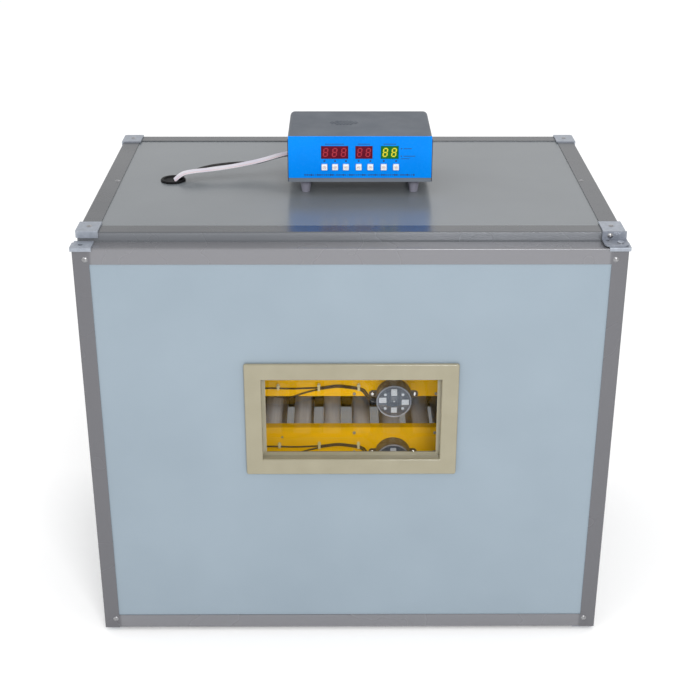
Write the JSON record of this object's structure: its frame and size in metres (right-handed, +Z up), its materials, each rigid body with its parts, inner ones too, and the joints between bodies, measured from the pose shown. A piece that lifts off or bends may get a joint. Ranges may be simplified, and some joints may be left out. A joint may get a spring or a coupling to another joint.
{
  "type": "egg incubator",
  "caption": "Insulated cabinet incubator with a hinged windowed door, turning roller trays for eggs, a fan and heater, and a key-and-display controller on top.",
  "frame": {"origin": "middle of the footprint at floor level, under the cabinet's rubber feet", "axes": "+X to the right seen from the door side, +Y from the door to the back, +Z up"},
  "size_m": [0.704, 0.472, 0.6765],
  "materials": {
    "panel_grey": "glossy grey skin over foam",
    "door_skin": "glossy pale blue-grey skin over foam",
    "profile_aluminium": "satin warm grey extrusion",
    "cap_aluminium": "satin cast corner",
    "rivet_metal": "bright dome",
    "black_rubber": "matt",
    "seal_rubber": "soft grey",
    "hinge_steel": "zinc plated",
    "bright_steel": "turned",
    "pan_plastic": "moulded white",
    "heater_steel": "heat tinted",
    "black_plastic": "moulded black",
    "white_plastic": "moulded white",
    "tray_yellow": "yellow gloss enamel",
    "roller_plastic": "warm grey pipe",
    "motor_steel": "bright can",
    "lead_black": "insulated lead",
    "case_grey": "satin grey enamel",
    "face_blue": "printed blue face",
    "display_plastic": "filtered digit block",
    "foot_plastic": "moulded grey",
    "board_green": "solder resist",
    "ribbon_white": "flat insulation",
    "frame_cream": "glossy cream moulding",
    "pane_glass": "clear pane",
    "button_white": "moulded white"
  },
  "bodies": {
    "cabinet": {"top_panel": "panel_grey", "left_panel": "panel_grey", "right_panel": "panel_grey", "back_panel": "panel_grey", "bottom_panel": "panel_grey", "cabinet_profiles": "profile_aluminium", "tray_runners": "profile_aluminium", "cabinet_corner_caps": "cap_aluminium", "cabinet_rivets": "rivet_metal", "cabinet_feet": "black_rubber", "cable_grommet": "black_rubber", "drive_belts": "black_rubber", "hinge_plates": "hinge_steel", "heater_tube": "heater_steel", "fan_frame": "black_plastic", "sensor_probe": "white_plastic", "tray_frames": "tray_yellow", "fixed_rollers": "roller_plastic", "turning_motors": "motor_steel", "motor_leads": "lead_black", "controller_cover": "case_grey", "controller_base": "case_grey", "controller_panel": "face_blue", "display_modules": "display_plastic", "controller_feet": "foot_plastic", "circuit_board": "board_green", "power_inlet": "black_plastic", "ribbon_cable": "ribbon_white", "black_wire": "lead_black"},
    "door": {"door_panel": "door_skin", "door_profiles": "profile_aluminium", "door_corner_caps": "cap_aluminium", "door_rivets": "rivet_metal", "door_seal": "seal_rubber", "window_frame": "frame_cream", "window_pane": "pane_glass", "hinge_pins": "bright_steel"},
    "fan": {"fan_blades": "black_plastic"},
    "water_tray": {"water_tray": "pan_plastic"},
    "egg_roller_01": {"egg_roller_01": "roller_plastic"},
    "egg_roller_02": {"egg_roller_02": "roller_plastic"},
    "egg_roller_03": {"egg_roller_03": "roller_plastic"},
    "egg_roller_04": {"egg_roller_04": "roller_plastic"},
    "egg_roller_05": {"egg_roller_05": "roller_plastic"},
    "egg_roller_06": {"egg_roller_06": "roller_plastic"},
    "egg_roller_07": {"egg_roller_07": "roller_plastic"},
    "egg_roller_08": {"egg_roller_08": "roller_plastic"},
    "egg_roller_09": {"egg_roller_09": "roller_plastic"},
    "egg_roller_10": {"egg_roller_10": "roller_plastic"},
    "egg_roller_11": {"egg_roller_11": "roller_plastic"},
    "egg_roller_12": {"egg_roller_12": "roller_plastic"},
    "egg_roller_13": {"egg_roller_13": "roller_plastic"},
    "egg_roller_14": {"egg_roller_14": "roller_plastic"},
    "button_1": {"button_1": "button_white"},
    "button_2": {"button_2": "button_white"},
    "button_3": {"button_3": "button_white"},
    "button_4": {"button_4": "button_white"},
    "button_5": {"button_5": "button_white"},
    "button_6": {"button_6": "button_white"},
    "button_7": {"button_7": "button_white"}
  },
  "joints": [
    {"name": "door_hinge", "type": "hinge", "parent": "cabinet", "child": "door", "pos_m": [0.34, -0.222, 0.3], "axis": [0, 0, 1], "range_deg": [0, 120]},
    {"name": "fan_spin", "type": "hinge", "parent": "cabinet", "child": "fan", "pos_m": [0, 0.19, 0.3], "axis": [0, 1, 0], "continuous": true},
    {"name": "water_tray_slide", "type": "slide", "parent": "cabinet", "child": "water_tray", "axis": [0, -1, 0], "range_m": [0, 0.05]},
    {"name": "egg_roller_01_turn", "type": "hinge", "parent": "cabinet", "child": "egg_roller_01", "pos_m": [-0.283, 0.008, 0.2595], "axis": [0, 1, 0], "continuous": true},
    {"name": "egg_roller_02_turn", "type": "hinge", "parent": "cabinet", "child": "egg_roller_02", "pos_m": [-0.2401, 0.008, 0.2595], "axis": [0, 1, 0], "continuous": true},
    {"name": "egg_roller_03_turn", "type": "hinge", "parent": "cabinet", "child": "egg_roller_03", "pos_m": [-0.1972, 0.008, 0.2595], "axis": [0, 1, 0], "continuous": true},
    {"name": "egg_roller_04_turn", "type": "hinge", "parent": "cabinet", "child": "egg_roller_04", "pos_m": [-0.1543, 0.008, 0.2595], "axis": [0, 1, 0], "continuous": true},
    {"name": "egg_roller_05_turn", "type": "hinge", "parent": "cabinet", "child": "egg_roller_05", "pos_m": [-0.1114, 0.008, 0.2595], "axis": [0, 1, 0], "continuous": true},
    {"name": "egg_roller_06_turn", "type": "hinge", "parent": "cabinet", "child": "egg_roller_06", "pos_m": [-0.0685, 0.008, 0.2595], "axis": [0, 1, 0], "continuous": true},
    {"name": "egg_roller_07_turn", "type": "hinge", "parent": "cabinet", "child": "egg_roller_07", "pos_m": [-0.0256, 0.008, 0.2595], "axis": [0, 1, 0], "continuous": true},
    {"name": "egg_roller_08_turn", "type": "hinge", "parent": "cabinet", "child": "egg_roller_08", "pos_m": [0.0173, 0.008, 0.2595], "axis": [0, 1, 0], "continuous": true},
    {"name": "egg_roller_09_turn", "type": "hinge", "parent": "cabinet", "child": "egg_roller_09", "pos_m": [0.0602, 0.008, 0.2595], "axis": [0, 1, 0], "continuous": true},
    {"name": "egg_roller_10_turn", "type": "hinge", "parent": "cabinet", "child": "egg_roller_10", "pos_m": [0.1031, 0.008, 0.2595], "axis": [0, 1, 0], "continuous": true},
    {"name": "egg_roller_11_turn", "type": "hinge", "parent": "cabinet", "child": "egg_roller_11", "pos_m": [0.146, 0.008, 0.2595], "axis": [0, 1, 0], "continuous": true},
    {"name": "egg_roller_12_turn", "type": "hinge", "parent": "cabinet", "child": "egg_roller_12", "pos_m": [0.1889, 0.008, 0.2595], "axis": [0, 1, 0], "continuous": true},
    {"name": "egg_roller_13_turn", "type": "hinge", "parent": "cabinet", "child": "egg_roller_13", "pos_m": [0.2318, 0.008, 0.2595], "axis": [0, 1, 0], "continuous": true},
    {"name": "egg_roller_14_turn", "type": "hinge", "parent": "cabinet", "child": "egg_roller_14", "pos_m": [0.2747, 0.008, 0.2595], "axis": [0, 1, 0], "continuous": true},
    {"name": "button_1_press", "type": "slide", "parent": "cabinet", "child": "button_1", "axis": [0, 1, 0], "range_m": [0, 0.0008], "stiffness_N_per_m": 900, "springref_m": -0.0004},
    {"name": "button_2_press", "type": "slide", "parent": "cabinet", "child": "button_2", "axis": [0, 1, 0], "range_m": [0, 0.0008], "stiffness_N_per_m": 900, "springref_m": -0.0004},
    {"name": "button_3_press", "type": "slide", "parent": "cabinet", "child": "button_3", "axis": [0, 1, 0], "range_m": [0, 0.0008], "stiffness_N_per_m": 900, "springref_m": -0.0004},
    {"name": "button_4_press", "type": "slide", "parent": "cabinet", "child": "button_4", "axis": [0, 1, 0], "range_m": [0, 0.0008], "stiffness_N_per_m": 900, "springref_m": -0.0004},
    {"name": "button_5_press", "type": "slide", "parent": "cabinet", "child": "button_5", "axis": [0, 1, 0], "range_m": [0, 0.0008], "stiffness_N_per_m": 900, "springref_m": -0.0004},
    {"name": "button_6_press", "type": "slide", "parent": "cabinet", "child": "button_6", "axis": [0, 1, 0], "range_m": [0, 0.0008], "stiffness_N_per_m": 900, "springref_m": -0.0004},
    {"name": "button_7_press", "type": "slide", "parent": "cabinet", "child": "button_7", "axis": [0, 1, 0], "range_m": [0, 0.0008], "stiffness_N_per_m": 900, "springref_m": -0.0004}
  ],
  "couplings": [
    {"joint": "egg_roller_01_turn", "follows": "egg_roller_09_turn", "ratio": 1},
    {"joint": "egg_roller_02_turn", "follows": "egg_roller_09_turn", "ratio": 1},
    {"joint": "egg_roller_03_turn", "follows": "egg_roller_09_turn", "ratio": 1},
    {"joint": "egg_roller_04_turn", "follows": "egg_roller_09_turn", "ratio": 1},
    {"joint": "egg_roller_05_turn", "follows": "egg_roller_09_turn", "ratio": 1},
    {"joint": "egg_roller_06_turn", "follows": "egg_roller_09_turn", "ratio": 1},
    {"joint": "egg_roller_07_turn", "follows": "egg_roller_09_turn", "ratio": 1},
    {"joint": "egg_roller_08_turn", "follows": "egg_roller_09_turn", "ratio": 1},
    {"joint": "egg_roller_10_turn", "follows": "egg_roller_09_turn", "ratio": 1},
    {"joint": "egg_roller_11_turn", "follows": "egg_roller_09_turn", "ratio": 1},
    {"joint": "egg_roller_12_turn", "follows": "egg_roller_09_turn", "ratio": 1},
    {"joint": "egg_roller_13_turn", "follows": "egg_roller_09_turn", "ratio": 1},
    {"joint": "egg_roller_14_turn", "follows": "egg_roller_09_turn", "ratio": 1}
  ]
}
